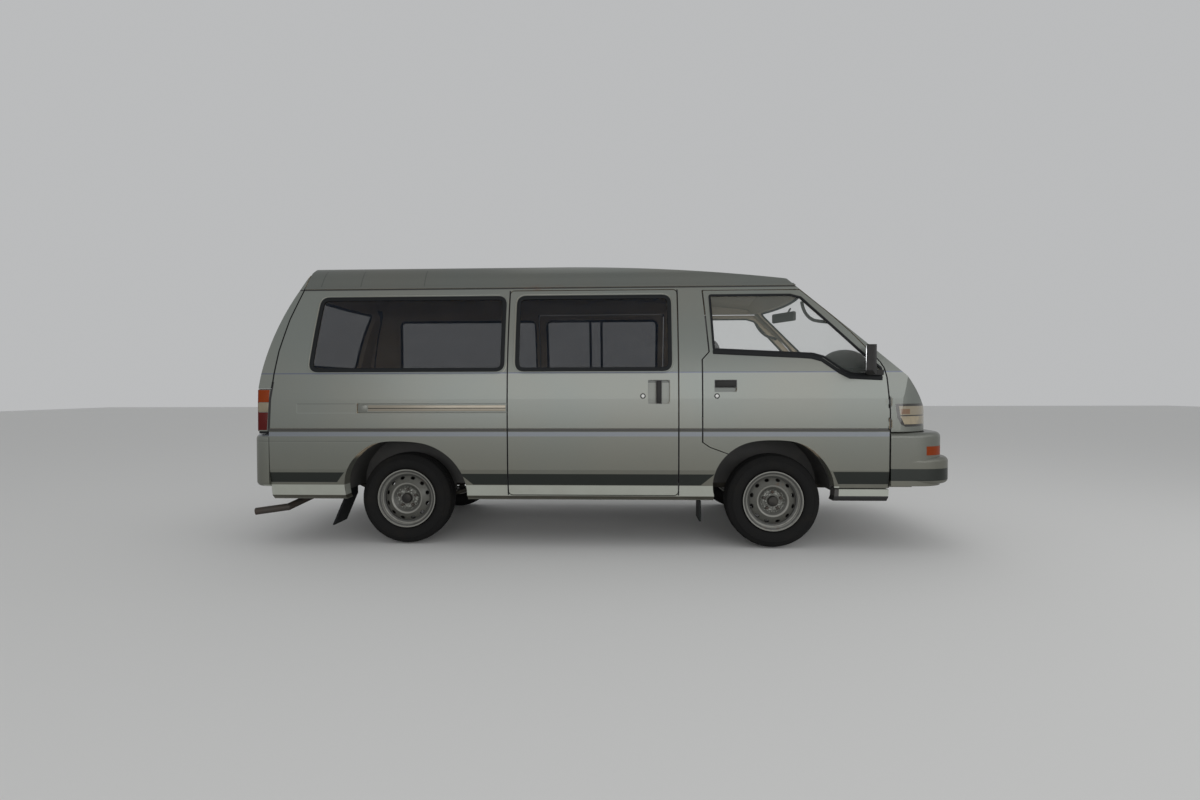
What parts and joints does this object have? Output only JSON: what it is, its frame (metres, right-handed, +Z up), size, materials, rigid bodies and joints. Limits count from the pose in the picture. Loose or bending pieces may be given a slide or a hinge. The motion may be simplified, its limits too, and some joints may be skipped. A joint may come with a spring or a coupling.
{
  "type": "camper van",
  "caption": "One-box van body with seat-over-engine cab, sliding side doors, lifting tailgate, opening cab doors, steered front wheels and a bed in the load space.",
  "frame": {"origin": "on the ground, midway between the ends of the bumpers, on the centre line", "axes": "+X forward, +Y to the van's left, +Z up"},
  "size_m": [4.6899, 2.0792, 1.9349],
  "materials": {
    "body_paint": "metallic",
    "bumper": "painted",
    "underbody": "matte",
    "floor_paint": "matte",
    "clear_glass": "clear",
    "tinted_glass": "tinted",
    "lamp_glass": "clear",
    "amber_lens": "clear",
    "red_lens": "clear",
    "black_plastic": "matte",
    "interior_plastic": "matte",
    "seat_fabric": "woven",
    "mattress_fabric": "woven",
    "plywood": "lacquered",
    "cast_metal": "cast",
    "bare_steel": "dull",
    "wheel_steel": "satin",
    "tyre": "matte"
  },
  "bodies": {
    "body": {"bed_box": "plywood", "cab_front": "body_paint", "chassis_frame": "underbody", "dashboard": "interior_plastic", "engine": "cast_metal", "exhaust": "bare_steel", "floor": "floor_paint", "front_bumper": "bumper", "front_indicators": "amber_lens", "front_seats": "seat_fabric", "front_suspension": "underbody", "fuel_tank": "underbody", "grille": "black_plastic", "headlamps": "lamp_glass", "mattress": "mattress_fabric", "mud_flaps": "black_plastic", "rear_axle": "underbody", "rear_bumper": "bumper", "roof": "body_paint", "side_glass": "tinted_glass", "side_panel_left": "body_paint", "side_panel_right": "body_paint", "sliding_door_left": "body_paint", "sliding_door_right": "body_paint", "steering_wheel": "interior_plastic", "tail_lamps": "red_lens", "tow_bar": "underbody", "windscreen": "clear_glass"},
    "door_left": {"door_left": "body_paint", "door_glass_left": "clear_glass", "mirror_left": "black_plastic"},
    "door_right": {"door_right": "body_paint", "door_glass_right": "clear_glass", "mirror_right": "black_plastic"},
    "tailgate": {"tailgate": "body_paint", "tailgate_glass": "tinted_glass"},
    "knuckle_left": {"knuckle_left": "underbody"},
    "knuckle_right": {"knuckle_right": "underbody"},
    "wheel_front_left": {"tyre_front_left": "tyre", "rim_front_left": "wheel_steel"},
    "wheel_front_right": {"tyre_front_right": "tyre", "rim_front_right": "wheel_steel"},
    "wheel_rear_left": {"tyre_rear_left": "tyre", "rim_rear_left": "wheel_steel"},
    "wheel_rear_right": {"tyre_rear_right": "tyre", "rim_rear_right": "wheel_steel"}
  },
  "joints": [
    {"name": "door_left_hinge", "type": "hinge", "parent": "body", "child": "door_left", "pos_m": [1.87, 0.845, 0.9], "axis": [0, 0, -1], "range_deg": [0, 65]},
    {"name": "door_right_hinge", "type": "hinge", "parent": "body", "child": "door_right", "pos_m": [1.87, -0.845, 0.9], "axis": [0, 0, 1], "range_deg": [0, 65]},
    {"name": "tailgate_hinge", "type": "hinge", "parent": "body", "child": "tailgate", "pos_m": [-1.993, 0, 1.833], "axis": [0, 1, 0], "range_deg": [0, 80]},
    {"name": "steer_left", "type": "hinge", "parent": "body", "child": "knuckle_left", "pos_m": [1.155, 0.64, 0.31], "axis": [0, 0, 1], "range_deg": [-32, 32]},
    {"name": "steer_right", "type": "hinge", "parent": "body", "child": "knuckle_right", "pos_m": [1.155, -0.64, 0.31], "axis": [0, 0, 1], "range_deg": [-32, 32]},
    {"name": "wheel_front_left_spin", "type": "hinge", "parent": "knuckle_left", "child": "wheel_front_left", "pos_m": [1.155, 0.7, 0.31], "axis": [0, 1, 0], "continuous": true},
    {"name": "wheel_front_right_spin", "type": "hinge", "parent": "knuckle_right", "child": "wheel_front_right", "pos_m": [1.155, -0.7, 0.31], "axis": [0, 1, 0], "continuous": true},
    {"name": "wheel_rear_left_spin", "type": "hinge", "parent": "body", "child": "wheel_rear_left", "pos_m": [-1.28, 0.648, 0.31], "axis": [0, 1, 0], "continuous": true},
    {"name": "wheel_rear_right_spin", "type": "hinge", "parent": "body", "child": "wheel_rear_right", "pos_m": [-1.28, -0.648, 0.31], "axis": [0, 1, 0], "continuous": true}
  ],
  "couplings": [
    {"joint": "steer_right", "follows": "steer_left", "ratio": 1}
  ]
}
